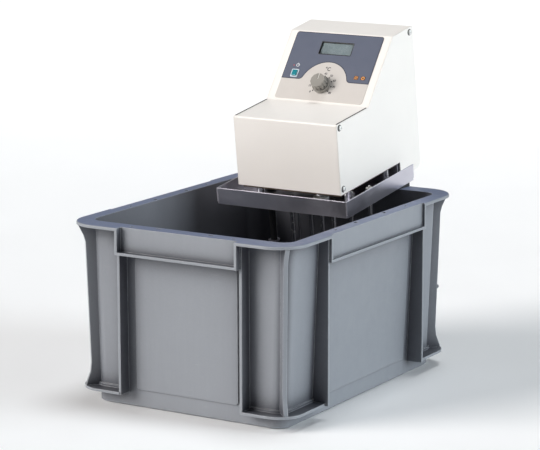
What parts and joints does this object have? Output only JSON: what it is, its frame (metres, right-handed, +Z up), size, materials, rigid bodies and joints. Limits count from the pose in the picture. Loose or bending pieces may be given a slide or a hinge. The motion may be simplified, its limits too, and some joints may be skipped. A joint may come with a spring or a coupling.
{
  "type": "heated water bath",
  "caption": "Laboratory water bath: a moulded stacking tub with a lift-out control unit that carries a heater, a stirrer, a probe and a level switch.",
  "frame": {"origin": "centre of the tub's flat underside, on the surface it stands on", "axes": "+Z up; +Y along the tub from its open end to the control unit; +X to the right seen from the open end"},
  "size_m": [0.3, 0.4638, 0.4029],
  "materials": {
    "tub_plastic": "moulded grey",
    "stainless": "brushed sheet",
    "stainless_rod": "drawn bar",
    "plated_steel": "bright zinc",
    "zinc_sheet": "galvanised",
    "black_rubber": "matt",
    "white_enamel": "fine powder coat",
    "heat_board": "pressed fibre board",
    "alloy": "turned",
    "panel_film": "printed film",
    "black_plastic": "moulded",
    "white_plastic": "turned",
    "display_glass": "clear",
    "display_module": "liquid crystal panel",
    "circuit_green": "lacquered",
    "knob_grey": "moulded",
    "pointer_white": "moulded",
    "button_teal": "moulded",
    "bezel_grey": "moulded",
    "lamp_orange": "tinted",
    "motor_black": "satin",
    "transformer_steel": "varnished laminations",
    "ceramic": "unglazed",
    "brass": "bright",
    "float_white": "moulded"
  },
  "bodies": {
    "tub": {"tub": "tub_plastic"},
    "control_unit": {"tray": "stainless", "rear_pads": "black_rubber", "support_legs": "stainless_rod", "leg_nuts": "plated_steel", "leg_feet": "black_rubber", "guard_plate": "stainless", "tray_bush": "white_plastic", "guard_bush": "white_plastic", "stirrer_motor": "motor_black", "motor_bracket": "zinc_sheet", "heater_element": "stainless_rod", "heater_glands": "plated_steel", "heater_terminals": "ceramic", "temperature_probe": "stainless_rod", "probe_gland": "plated_steel", "level_switch_stem": "black_plastic", "level_switch_stops": "stainless", "front_cover": "white_enamel", "left_side_panel": "white_enamel", "right_side_panel": "white_enamel", "side_screws": "plated_steel", "screw_washers": "black_rubber", "seam_seals": "black_rubber", "back_panel": "white_enamel", "back_screws": "plated_steel", "base_plate": "zinc_sheet", "heat_board": "heat_board", "spacer_posts": "alloy", "post_screws": "plated_steel", "control_label": "panel_film", "display_bezel": "black_plastic", "display_window": "display_glass", "display_module": "display_module", "circuit_board": "circuit_green", "circuit_spacers": "white_plastic", "circuit_nuts": "plated_steel", "potentiometer": "zinc_sheet", "potentiometer_nut": "plated_steel", "button_bezel": "bezel_grey", "power_switch": "black_plastic", "indicator_lamps": "lamp_orange", "transformer": "transformer_steel", "heater_relay": "black_plastic", "heat_sink": "alloy", "terminal_block": "white_plastic", "terminal_screws": "brass", "power_inlet": "black_plastic", "inlet_pins": "brass", "fuse_holder": "black_plastic", "fuse_cap": "black_plastic"},
    "stirrer": {"motor_shaft": "stainless_rod", "shaft_coupling": "alloy", "stirrer_shaft": "stainless_rod", "propeller": "stainless"},
    "level_float": {"level_float": "float_white"},
    "temperature_knob": {"temperature_knob": "knob_grey", "knob_line": "pointer_white", "potentiometer_spindle": "alloy"},
    "power_button": {"power_button": "button_teal"}
  },
  "joints": [
    {"name": "unit_lift", "type": "slide", "parent": "tub", "child": "control_unit", "axis": [0, 0, 1], "range_m": [0, 0.26]},
    {"name": "stirrer_spin", "type": "hinge", "parent": "control_unit", "child": "stirrer", "pos_m": [0.01037, 0.10418, 0.22306], "axis": [-0.0025, -0.134, 0.991], "continuous": true},
    {"name": "float_slide", "type": "slide", "parent": "control_unit", "child": "level_float", "axis": [-0.0025, -0.134, 0.991], "range_m": [0, 0.03]},
    {"name": "knob_turn", "type": "hinge", "parent": "control_unit", "child": "temperature_knob", "pos_m": [-0.01108, 0.14562, 0.33474], "axis": [0.0148, 0.8048, -0.5933], "range_deg": [-126, 124]},
    {"name": "button_press", "type": "slide", "parent": "control_unit", "child": "power_button", "axis": [0.0148, 0.8048, -0.5933], "range_m": [0, 0.0015], "stiffness_N_per_m": 400, "springref_m": -0.001}
  ]
}
